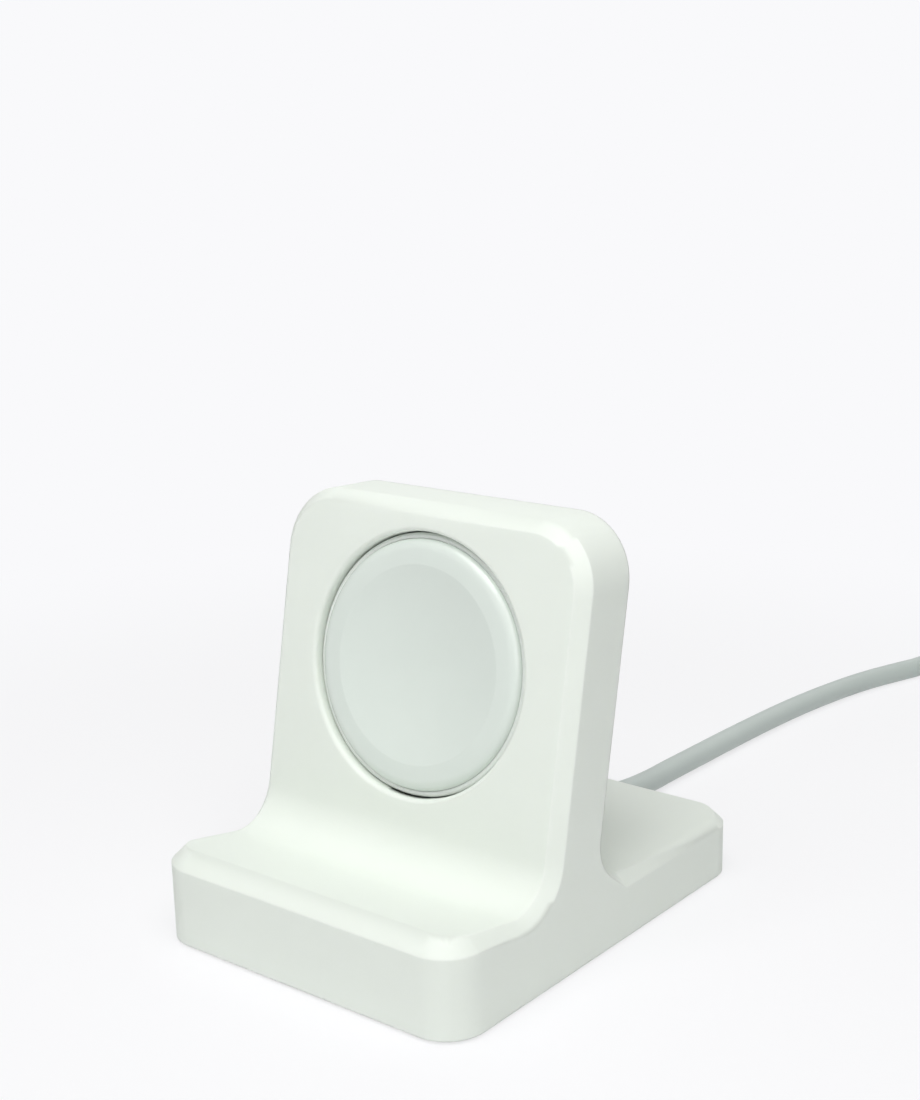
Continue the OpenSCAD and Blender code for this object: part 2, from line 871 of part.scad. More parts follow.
module plug_contacts() {
    face = mouth_h / 2 - sheet_t - tongue_t;
    back = mouth_root + mouth_l - tongue_set - contact_set - contact_l;
    color("#c9a24b")
        on_mouth()
            for (i = [-1.5 : 1 : 1.5])
                translate([i * contact_pitch - contact_w / 2, face - contact_t, back])
                    cube([contact_w, contact_t, contact_l]);
}

stand_body();
base_pad();
puck_cap();
puck_shell();
charging_coil();
ferrite_ring();
centre_magnet();
shield_plate();
puck_board();
board_chips();
puck_gland();
held_lead();
cable();
cable_coil();
plug_tail();
plug_grip();
plug_mouth();
plug_tongue();
plug_contacts();
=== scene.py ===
"""Studio scene of a stand for a smartwatch with its round charging puck and lead.

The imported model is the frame: X to the right, Y to the back, Z up, in metres. The classes below
dress it piece by piece, and every length in them is in millimetres unless its name says otherwise.
"""

import logging
import math
from abc import ABC, abstractmethod
from collections.abc import Mapping, Sequence
from dataclasses import dataclass, field
from enum import Enum

import bmesh
import bpy
from mathutils import Matrix, Vector


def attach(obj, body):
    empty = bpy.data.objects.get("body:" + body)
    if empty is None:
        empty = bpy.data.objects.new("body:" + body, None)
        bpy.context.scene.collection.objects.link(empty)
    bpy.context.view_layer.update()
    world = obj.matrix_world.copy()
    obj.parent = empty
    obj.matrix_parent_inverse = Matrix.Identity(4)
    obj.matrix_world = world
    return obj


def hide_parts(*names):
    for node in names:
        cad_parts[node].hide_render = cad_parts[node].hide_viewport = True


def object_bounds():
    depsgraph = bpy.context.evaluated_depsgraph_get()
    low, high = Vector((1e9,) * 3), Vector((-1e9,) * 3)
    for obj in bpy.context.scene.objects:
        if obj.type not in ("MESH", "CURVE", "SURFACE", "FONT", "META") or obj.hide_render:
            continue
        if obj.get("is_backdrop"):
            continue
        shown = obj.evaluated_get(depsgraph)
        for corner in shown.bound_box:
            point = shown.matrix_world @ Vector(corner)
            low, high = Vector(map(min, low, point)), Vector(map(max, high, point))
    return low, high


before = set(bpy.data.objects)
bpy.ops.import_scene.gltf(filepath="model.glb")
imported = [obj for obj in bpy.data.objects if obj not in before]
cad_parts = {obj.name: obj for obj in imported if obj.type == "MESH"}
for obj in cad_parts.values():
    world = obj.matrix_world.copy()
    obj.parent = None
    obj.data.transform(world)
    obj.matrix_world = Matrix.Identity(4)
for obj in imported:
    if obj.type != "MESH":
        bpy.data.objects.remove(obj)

LOG = logging.getLogger("watch_stand")
MM = 0.001
# Decimals that keep a box's corner, in metres, to the thousandth of a millimetre.
SIZE_DECIMALS = 6
# The photograph's longer side, in pixels, which the camera's sensor spans.
IMAGE_HEIGHT = 1100

# Sockets of a colour Mix node, which has a set of them for each kind of data.
MIX_SHARE, MIX_FIRST, MIX_SECOND, MIX_RESULT = 0, 6, 7, 2
# The middle stretch, in which nearly all values of a noise pattern lie.
NOISE_LOW, NOISE_HIGH = 0.3, 0.7
# Octaves of the noise patterns: the more, the finer their smallest parts.
CLOUD_DETAIL, GRAIN_DETAIL, RUB_DETAIL, LINE_DETAIL = 3.0, 4.0, 2.0, 3.0
# Patches of handled and unhandled skin for each cloud's width.
RUBS_PER_CLOUD = 3
# Rays that round an edge's highlight: the pale mouldings need more of them than the metals do.
MOULDED_EDGE_RAYS, METAL_EDGE_RAYS = 6, 4
# Cosine of the turn between the flat and the rounded surface at which the highlight painted along
# an edge is at its palest.
FULL_EDGE_TURN = 0.9
# How far a metal's lines take its roughness down and up, as a share of it.
METAL_ROUGHNESS_SWING = 0.25

Point = tuple[float, float, float]


def linear(colour: str) -> tuple[float, float, float, float]:
    """Turns an sRGB hex colour to linear red, green, blue and alpha.

    Args:
        colour: The colour as "#rrggbb".

    Returns:
        Its linear parts with alpha 1.
    """
    parts = [int(colour[i : i + 2], 16) / 255 for i in (1, 3, 5)]
    red, green, blue = (
        part / 12.92 if part <= 0.04045 else ((part + 0.055) / 1.055) ** 2.4 for part in parts
    )
    return (red, green, blue, 1.0)


def add_node(
    tree: bpy.types.NodeTree,
    kind: str,
    settings: Mapping[str, object] | None = None,
    inputs: Mapping[str | int, object] | None = None,
) -> bpy.types.Node:
    """Adds a node, sets its properties and fills or links its inputs.

    Args:
        tree: The node tree that gets the node.
        kind: The node's type name.
        settings: Properties of the node by name.
        inputs: Values or output sockets by the input's name or index.

    Returns:
        The new node.
    """
    node = tree.nodes.new(kind)
    for name, value in (settings or {}).items():
        setattr(node, name, value)
    for key, value in (inputs or {}).items():
        if isinstance(value, bpy.types.NodeSocket):
            tree.links.new(value, node.inputs[key])
        else:
            node.inputs[key].default_value = value
    return node


def millimetres(tree: bpy.types.NodeTree, stretch: Point = (1, 1, 1)) -> bpy.types.NodeSocket:
    """Adds the place on the piece, in millimetres of the frame.

    Args:
        tree: The node tree.
        stretch: Millimetres that a pattern's unit takes along X, Y and Z.

    Returns:
        The vector output.
    """
    place = add_node(tree, "ShaderNodeTexCoord")
    scale = tuple(1 / (MM * length) for length in stretch)
    return add_node(
        tree,
        "ShaderNodeVectorMath",
        {"operation": "MULTIPLY"},
        {0: place.outputs["Object"], 1: scale},
    ).outputs[0]


def shown_directly(tree: bpy.types.NodeTree) -> bpy.types.NodeSocket:
    """Adds a mask that is 1 for what the camera sees, also in gloss and through glass.

    Args:
        tree: The node tree.

    Returns:
        The mask's output.
    """
    path = add_node(tree, "ShaderNodeLightPath")
    gloss = add_node(
        tree,
        "ShaderNodeMath",
        {"operation": "MAXIMUM"},
        {0: path.outputs["Is Glossy Ray"], 1: path.outputs["Is Transmission Ray"]},
    )
    return add_node(
        tree,
        "ShaderNodeMath",
        {"operation": "MAXIMUM"},
        {0: path.outputs["Is Camera Ray"], 1: gloss.outputs[0]},
    ).outputs[0]


class Finish(ABC):
    """A surface: what it is made of and how it was made."""

    name: str

    @abstractmethod
    def dress(self, tree: bpy.types.NodeTree) -> bpy.types.NodeSocket:
        """Adds the finish's nodes to a tree and returns its shader output."""

    def material(self) -> bpy.types.Material:
        """Gives the finish's material, and makes it the first time.

        Returns:
            The one material that bears the finish's name.
        """
        found = bpy.data.materials.get(self.name)
        if found:
            return found
        made = bpy.data.materials.new(self.name)
        made.use_nodes = True
        made.node_tree.nodes.clear()
        shader = self.dress(made.node_tree)
        add_node(made.node_tree, "ShaderNodeOutputMaterial", inputs={"Surface": shader})
        return made

    def put_on(self, piece: bpy.types.Object) -> None:
        """Gives a piece this finish in all of its slots.

        Args:
            piece: The piece, which gets a slot if it has none.
        """
        made = self.material()
        if not piece.data.materials:
            piece.data.materials.append(made)
        for slot in piece.material_slots:
            slot.material = made


@dataclass(frozen=True)
class Moulded(Finish):
    """A moulded plastic or rubber, with the mould's grain, a slow cloudiness, softened edges and a
    highlight painted along them.

    Attributes:
        name: The material's name.
        base: Its colour.
        cloud: The colour that the clouds in it drift to.
        roughness: Its roughness halfway between the rubbed and the unrubbed places.
        ior: Its index of refraction.
        grain_mm: Distance from one grain of the skin to the next, as drawn.
        grain_depth_mm: The grain's height.
        cloud_mm: Size of a cloud.
        roughness_swing: How far rubbing takes the roughness up and down.
        edge_mm: Radius that an edge's highlight shows.
        edge_highlight_tint: Colour of the highlight painted along the edges.
        edge_highlight_share: How far the colour goes towards that painted highlight at an edge.
        subsurface: Share of the light that goes in and comes out again.
        subsurface_mm: How deep that light goes.
        subsurface_split: Shares of that depth for red, green and blue.
    """

    name: str
    base: str
    cloud: str
    roughness: float
    ior: float
    grain_mm: float
    grain_depth_mm: float
    cloud_mm: float = 14.0
    roughness_swing: float = 0.05
    edge_mm: float = 0.25
    # By default a white highlight is painted along every edge.
    edge_highlight_tint: str = "#ffffff"
    edge_highlight_share: float = 0.25
    subsurface: float = 0.0
    subsurface_mm: float = 1.0
    subsurface_split: Point = (1.0, 1.0, 0.9)

    def dress(self, tree: bpy.types.NodeTree) -> bpy.types.NodeSocket:
        """Adds the cloudy colour, the mould's grain, the rubbed patches, the rounded edges and a
        painted edge highlight.

        Args:
            tree: The material's node tree.

        Returns:
            The shader output.
        """
        place = millimetres(tree)
        cloud = add_node(
            tree,
            "ShaderNodeTexNoise",
            None,
            {"Vector": place, "Scale": 1 / self.cloud_mm, "Detail": CLOUD_DETAIL},
        )
        colour = add_node(
            tree,
            "ShaderNodeMix",
            {"data_type": "RGBA"},
            {
                MIX_SHARE: cloud.outputs[0],
                MIX_FIRST: linear(self.base),
                MIX_SECOND: linear(self.cloud),
            },
        )
        soft = add_node(
            tree,
            "ShaderNodeBevel",
            {"samples": MOULDED_EDGE_RAYS},
            {"Radius": self.edge_mm * MM},
        )
        # Painted highlight: the colour goes pale along the edges, where the rounded normal turns
        # from the flat one.
        flat = add_node(tree, "ShaderNodeNewGeometry")
        turn = add_node(
            tree,
            "ShaderNodeVectorMath",
            {"operation": "DOT_PRODUCT"},
            {0: soft.outputs[0], 1: flat.outputs["Normal"]},
        )
        edge = add_node(
            tree,
            "ShaderNodeMapRange",
            None,
            {
                "Value": turn.outputs["Value"],
                "From Min": 1.0,
                "From Max": FULL_EDGE_TURN,
                "To Max": self.edge_highlight_share,
            },
        )
        edge_highlit = add_node(
            tree,
            "ShaderNodeMix",
            {"data_type": "RGBA"},
            {
                MIX_SHARE: edge.outputs[0],
                MIX_FIRST: colour.outputs[MIX_RESULT],
                MIX_SECOND: linear(self.edge_highlight_tint),
            },
        )
        grain = add_node(
            tree,
            "ShaderNodeTexNoise",
            None,
            {"Vector": place, "Scale": 1 / self.grain_mm, "Detail": GRAIN_DETAIL},
        )
        bump = add_node(
            tree,
            "ShaderNodeBump",
            None,
            {
                "Strength": 1.0,
                "Distance": self.grain_depth_mm * MM,
                "Height": grain.outputs[0],
                "Normal": soft.outputs[0],
            },
        )
        rub = add_node(
            tree,
            "ShaderNodeTexNoise",
            None,
            {"Vector": place, "Scale": RUBS_PER_CLOUD / self.cloud_mm, "Detail": RUB_DETAIL},
        )
        rough = add_node(
            tree,
            "ShaderNodeMapRange",
            None,
            {
                "Value": rub.outputs[0],
                "From Min": NOISE_LOW,
                "From Max": NOISE_HIGH,
                "To Min": self.roughness - self.roughness_swing,
                "To Max": self.roughness + self.roughness_swing,
            },
        )
        return add_node(
            tree,
            "ShaderNodeBsdfPrincipled",
            None,
            {
                "Base Color": edge_highlit.outputs[MIX_RESULT],
                "Roughness": rough.outputs[0],
                "IOR": self.ior,
                "Normal": bump.outputs[0],
                "Subsurface Weight": self.subsurface,
                "Subsurface Radius": self.subsurface_split,
                "Subsurface Scale": self.subsurface_mm * MM,
            },
        ).outputs[0]


@dataclass(frozen=True)
class Metal(Finish):
    """A rolled, plated or wound metal, with its brush or roll lines.

    Real roll lines are about a hundredth of a millimetre wide and too fine to show, so they are
    drawn as wide as line_mm says.

    Attributes:
        name: The material's name.
        base: Its colour.
        shade: The colour that its lines go to.
        roughness: Its roughness halfway between the lines and the stretches between them.
        line_mm: Size of the lines along X, Y and Z.
        line_depth_mm: The lines' depth.
        edge_mm: Radius that an edge's highlight shows.
    """

    name: str
    base: str
    shade: str
    roughness: float
    line_mm: Point = (0.05, 2.0, 0.05)
    line_depth_mm: float = 0.002
    edge_mm: float = 0.05

    def dress(self, tree: bpy.types.NodeTree) -> bpy.types.NodeSocket:
        """Adds the lines of the rolled sheet, in colour, roughness and height.

        Args:
            tree: The material's node tree.

        Returns:
            The shader output.
        """
        lines = add_node(
            tree,
            "ShaderNodeTexNoise",
            None,
            {"Vector": millimetres(tree, self.line_mm), "Scale": 1.0, "Detail": LINE_DETAIL},
        )
        colour = add_node(
            tree,
            "ShaderNodeMix",
            {"data_type": "RGBA"},
            {
                MIX_SHARE: lines.outputs[0],
                MIX_FIRST: linear(self.base),
                MIX_SECOND: linear(self.shade),
            },
        )
        soft = add_node(
            tree,
            "ShaderNodeBevel",
            {"samples": METAL_EDGE_RAYS},
            {"Radius": self.edge_mm * MM},
        )
        bump = add_node(
            tree,
            "ShaderNodeBump",
            None,
            {
                "Distance": self.line_depth_mm * MM,
                "Height": lines.outputs[0],
                "Normal": soft.outputs[0],
            },
        )
        rough = add_node(
            tree,
            "ShaderNodeMapRange",
            None,
            {
                "Value": lines.outputs[0],
                "From Min": NOISE_LOW,
                "From Max": NOISE_HIGH,
                "To Min": self.roughness * (1 - METAL_ROUGHNESS_SWING),
                "To Max": self.roughness * (1 + METAL_ROUGHNESS_SWING),
            },
        )
        return add_node(
            tree,
            "ShaderNodeBsdfPrincipled",
            None,
            {
                "Base Color": colour.outputs[MIX_RESULT],
                "Roughness": rough.outputs[0],
                "Metallic": 1.0,
                "Normal": bump.outputs[0],
            },
        ).outputs[0]


@dataclass(frozen=True)
class StudioPaper(Finish):
    """Seamless background paper: matt and pale, and evenly bright to the camera.

    Attributes:
        name: The material's name.
        tone: What the camera sees of it far from the object.
        fill: The paper's own colour, which lights the object from below.
        shadow_share: How much of the real light and shadow shows near the object.
        shadow_mm: Distances from the origin between which that fades out.
        near_tone: What the camera sees of it near the object, where the shadow takes some away.
    """

    name: str
    tone: str
    fill: str
    shadow_share: float = 0.28
    shadow_mm: tuple[float, float] = (60.0, 170.0)
    near_tone: str = "#fcfcfd"

    def dress(self, tree: bpy.types.NodeTree) -> bpy.types.NodeSocket:
        """Adds the paper's own shade for the light, and for the camera its even tone.

        Args:
            tree: The material's node tree.

        Returns:
            The shader output.
        """
        paper = add_node(tree, "ShaderNodeBsdfDiffuse", None, {"Color": linear(self.fill)})
        away = add_node(
            tree, "ShaderNodeVectorMath", {"operation": "LENGTH"}, {0: millimetres(tree)}
        )
        fade_start, fade_end = self.shadow_mm
        far = add_node(
            tree,
            "ShaderNodeMapRange",
            {"interpolation_type": "SMOOTHSTEP"},
            {"Value": away.outputs["Value"], "From Min": fade_start, "From Max": fade_end},
        )
        share = add_node(
            tree,
            "ShaderNodeMapRange",
            None,
            {"Value": far.outputs[0], "To Min": 1 - self.shadow_share},
        )
        tone = add_node(
            tree,
            "ShaderNodeMix",
            {"data_type": "RGBA"},
            {
                MIX_SHARE: far.outputs[0],
                MIX_FIRST: linear(self.near_tone),
                MIX_SECOND: linear(self.tone),
            },
        )
        even = add_node(
            tree, "ShaderNodeEmission", None, {"Color": tone.outputs[MIX_RESULT], "Strength": 1.0}
        )
        seen = add_node(
            tree,
            "ShaderNodeMixShader",
            None,
            {0: share.outputs[0], 1: paper.outputs[0], 2: even.outputs[0]},
        )
        return add_node(
            tree,
            "ShaderNodeMixShader",
            None,
            {0: shown_directly(tree), 1: paper.outputs[0], 2: seen.outputs[0]},
        ).outputs[0]


# The grain of a satin moulding is a few hundredths of a millimetre, which is too fine to show.
# So the grain_mm of each satin finish below is a few times coarser, two or three pixels wide.

# Silicone rubber, moulded in a spark-eroded steel mould: a satin skin without hard glints, light
# that goes a little way in and softens the edges, and a faint green in the white.
STAND_SILICONE = Moulded(
    "stand_silicone_moulded",
    base="#e9efe7",
    cloud="#e5ebe3",
    roughness=0.5,
    ior=1.41,
    grain_mm=0.22,
    grain_depth_mm=0.006,
    cloud_mm=16.0,
    edge_mm=0.35,
    # A pale highlight is painted along the stand's edges.
    edge_highlight_tint="#f4f8f2",
    edge_highlight_share=0.4,
    subsurface=0.15,
    subsurface_mm=1.2,
)
# Thermoplastic rubber sheet, die-cut: matt, grey-white, with a coarse anti-slip grain.
PAD_RUBBER = Moulded(
    "pad_rubber_die_cut",
    base="#c9ccca",
    cloud="#c2c6c3",
    roughness=0.75,
    ior=1.5,
    grain_mm=0.35,
    grain_depth_mm=0.02,
    edge_mm=0.08,
)
# Polycarbonate, moulded and polished: clear highlights over white with the polish's faint waves,
# and a little haze where watches rest.
CAP_POLYCARBONATE = Moulded(
    "cap_polycarbonate_polished",
    base="#dce4dd",
    cloud="#d6dfd8",
    roughness=0.22,
    ior=1.585,
    grain_mm=0.5,
    grain_depth_mm=0.0008,
    cloud_mm=9.0,
    roughness_swing=0.03,
    edge_mm=0.06,
    # A faint white highlight is painted along the cap's edges.
    edge_highlight_share=0.15,
)
# Polycarbonate, moulded with a fine satin: the same white, a little softer than the cap.
SHELL_POLYCARBONATE = Moulded(
    "shell_polycarbonate_satin",
    base="#e4e9e4",
    cloud="#dfe4df",
    roughness=0.34,
    ior=1.585,
    grain_mm=0.3,
    grain_depth_mm=0.002,
    edge_mm=0.12,
    # A faint white highlight is painted along the shell's edges.
    edge_highlight_share=0.15,
)
# Thermoplastic elastomer, extruded: the grey-green jacket of the lead, smooth with a low sheen.
JACKET_ELASTOMER = Moulded(
    "jacket_elastomer_extruded",
    base="#bec7c2",
    cloud="#b7c0bc",
    roughness=0.42,
    ior=1.5,
    grain_mm=0.3,
    grain_depth_mm=0.006,
    cloud_mm=8.0,
    edge_mm=0.05,
    edge_highlight_share=0.0,
    subsurface=0.08,
    subsurface_mm=0.6,
)
# Polycarbonate blend, moulded round the plug: glossy white.
GRIP_POLYCARBONATE = Moulded(
    "grip_polycarbonate_gloss",
    base="#eef1ee",
    cloud="#e9ece9",
    roughness=0.22,
    ior=1.585,
    grain_mm=0.4,
    grain_depth_mm=0.001,
    edge_mm=0.2,
)
# Polyester liquid-crystal polymer, moulded: the hard white tongue that carries the contacts.
TONGUE_POLYMER = Moulded(
    "tongue_polymer_moulded",
    base="#f0f1ef",
    cloud="#eaebe8",
    roughness=0.45,
    ior=1.6,
    grain_mm=0.2,
    grain_depth_mm=0.004,
    edge_mm=0.08,
)
# Thermoplastic elastomer, moulded on the lead: the satin sleeve where it leaves the puck.
GLAND_ELASTOMER = Moulded(
    "gland_elastomer_moulded",
    base="#dfe4df",
    cloud="#d8ddd8",
    roughness=0.5,
    ior=1.5,
    grain_mm=0.2,
    grain_depth_mm=0.004,
    edge_mm=0.15,
)
# Ferrite, pressed and sintered: dark, matt and faintly grainy.
FERRITE = Moulded(
    "ferrite_sintered",
    base="#3d3f42",
    cloud="#343639",
    roughness=0.6,
    ior=2.0,
    grain_mm=0.15,
    grain_depth_mm=0.01,
    edge_mm=0.05,
)
# Glass-filled epoxy laminate under solder resist: dark green, with a half-gloss skin.
BOARD_LAMINATE = Moulded(
    "board_laminate_resist",
    base="#2f6b4a",
    cloud="#2a5f42",
    roughness=0.35,
    ior=1.55,
    grain_mm=0.3,
    grain_depth_mm=0.004,
    edge_mm=0.05,
)
# Filled epoxy, transfer moulded: the black, matt bodies of the chips.
CHIP_EPOXY = Moulded(
    "chip_epoxy_moulded",
    base="#2b2d30",
    cloud="#26282b",
    roughness=0.55,
    ior=1.55,
    grain_mm=0.1,
    grain_depth_mm=0.006,
    edge_mm=0.04,
)
# Nickel-plated steel sheet, drawn and folded: a bright grey with fine roll lines along the plug.
MOUTH_STEEL = Metal(
    "mouth_steel_nickel_plated", base="#c8cbce", shade="#bbbec2", roughness=0.28
)
# Gold flash over nickel: the warm, smooth plug contacts.
CONTACT_GOLD = Metal("contact_gold_flash", base="#d9b25c", shade="#cda44e", roughness=0.22)
# Enamelled copper wire, wound flat: warm and glossy.
WINDING_COPPER = Metal(
    "winding_copper_enamelled", base="#c07a40", shade="#ad6934", roughness=0.3
)
# Sintered magnet, nickel plated: a smooth light grey.
MAGNET_NICKEL = Metal("magnet_nickel_plated", base="#b4b7bb", shade="#a7abb0", roughness=0.25)
# Cold-rolled steel sheet: grey, with visible roll lines.
SHIELD_STEEL = Metal("shield_steel_rolled", base="#a2a7ac", shade="#949a9f", roughness=0.38)
# Background paper: an even pale tone behind the object.
PAPER = StudioPaper("studio_paper", tone="#f9f9fb", fill="#f4f4f6")


def seat(piece: bpy.types.Object, finish: Finish, slot: str, *stands_for: str) -> None:
    """Rides a new piece on the object's one body, in the place of CAD nodes, and dresses it.

    Args:
        piece: The new piece.
        finish: Its finish.
        slot: Not used.
        stands_for: Names of the CAD nodes that the piece replaces.
    """
    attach(piece, "root")
    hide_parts(*stands_for)
    finish.put_on(piece)


def link_mesh(
    name: str, shape: bmesh.types.BMesh, matrix: Matrix | None = None
) -> bpy.types.Object:
    """Turns a mesh under construction into an object of the scene.

    Args:
        name: The object's name.
        shape: The mesh, which is freed.
        matrix: Where its points go in the frame, if they aren't there yet.

    Returns:
        The object, with smooth faces.
    """
    if matrix is not None:
        bmesh.ops.transform(shape, matrix=matrix, verts=shape.verts)
    for face in shape.faces:
        face.smooth = True
    mesh = bpy.data.meshes.new(name)
    shape.to_mesh(mesh)
    shape.free()
    piece = bpy.data.objects.new(name, mesh)
    bpy.context.scene.collection.objects.link(piece)
    return piece


def fold_crisply(piece: bpy.types.Object, fold_deg: float) -> None:
    """Shades a piece smooth but for its folds of more than fold_deg degrees."""
    piece.data.set_sharp_from_angle(angle=math.radians(fold_deg))


def heading(azimuth: float, elevation: float) -> Vector:
    """Gives the direction from the object to what stands or hangs round it.

    Args:
        azimuth: Degrees round the object, from its front towards its right side.
        elevation: Degrees over the floor.

    Returns:
        The direction, one unit long.
    """
    bearing, rise = math.radians(azimuth), math.radians(elevation)
    return Vector(
        (
            math.sin(bearing) * math.cos(rise),
            -math.cos(bearing) * math.cos(rise),
            math.sin(rise),
        )
    )


def eased(share: float) -> float:
    """Smooths a share that grows from 0 to 1, so that it starts and ends gently."""
    return share * share * (3 - 2 * share)


@dataclass(frozen=True)
class LeaningFace:
    """The front plane of the leaning upright, which the puck is set in.

    Attributes:
        foot_y: Where the plane would meet the stand's underside, along Y.
        foot_z: Height of the underside, which the pad keeps off the floor.
        lean_deg: How far the plane leans back.
    """

    foot_y: float = -12.25
    foot_z: float = 0.3
    lean_deg: float = 11.0

    def matrix(self, height: float, proud: float) -> Matrix:
        """Gives the place on the plane's middle line, with X right, Y up the plane and Z out of it.

        Args:
            height: Distance up the plane, in millimetres.
            proud: Distance out of the plane, in millimetres.

        Returns:
            The matrix, from local millimetres to the frame's metres.
        """
        lean = math.radians(self.lean_deg)
        up = Vector((0, math.sin(lean), math.cos(lean)))
        out = Vector((0, -math.cos(lean), math.sin(lean)))
        place = (Vector((0, self.foot_y, self.foot_z)) + height * up + proud * out) * MM
        turn = Matrix((Vector((1, 0, 0)), up, out)).transposed().to_4x4()
        return Matrix.Translation(place) @ turn @ Matrix.Scale(MM, 4)


@dataclass
class Stand:
    """The moulded stand and its non-slip pad.

    Attributes:
        weld: Distance under which points of the solid's skin become one.
        flat_deg: Angle under which neighbouring facets become one face.
        fold_deg: Angle over which an edge stays crisp.
        flat_lead: How much a large face's direction leads that of the small ones beside it.
    """

    weld: float = 0.002
    flat_deg: float = 0.3
    fold_deg: float = 28.0
    flat_lead: int = 80

    def build(self) -> None:
        """Builds and dresses the stand, and dresses its pad."""
        seat(self.body(), STAND_SILICONE, "stand_silicone", "stand_body")
        LOG.info("stand body built")
        PAD_RUBBER.put_on(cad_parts["base_pad"])
        LOG.info("base pad dressed")

    def body(self) -> bpy.types.Object:
        """Builds the stand from the frame's solid, and moves none of its skin.

        Returns:
            The piece, with flat faces joined, folds crisp and blends smooth.
        """
        shape = bmesh.new()
        shape.from_mesh(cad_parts["stand_body"].data)
        bmesh.ops.remove_doubles(shape, verts=shape.verts, dist=self.weld * MM)
        bmesh.ops.dissolve_limit(
            shape,
            angle_limit=math.radians(self.flat_deg),
            verts=shape.verts,
            edges=shape.edges,
            delimit={"NORMAL"},
        )
        piece = link_mesh("stand_moulding", shape)
        fold_crisply(piece, self.fold_deg)
        shading = piece.modifiers.new("flat_faces_lead", "WEIGHTED_NORMAL")
        shading.keep_sharp = True
        shading.mode = "FACE_AREA"
        shading.weight = self.flat_lead
        return piece


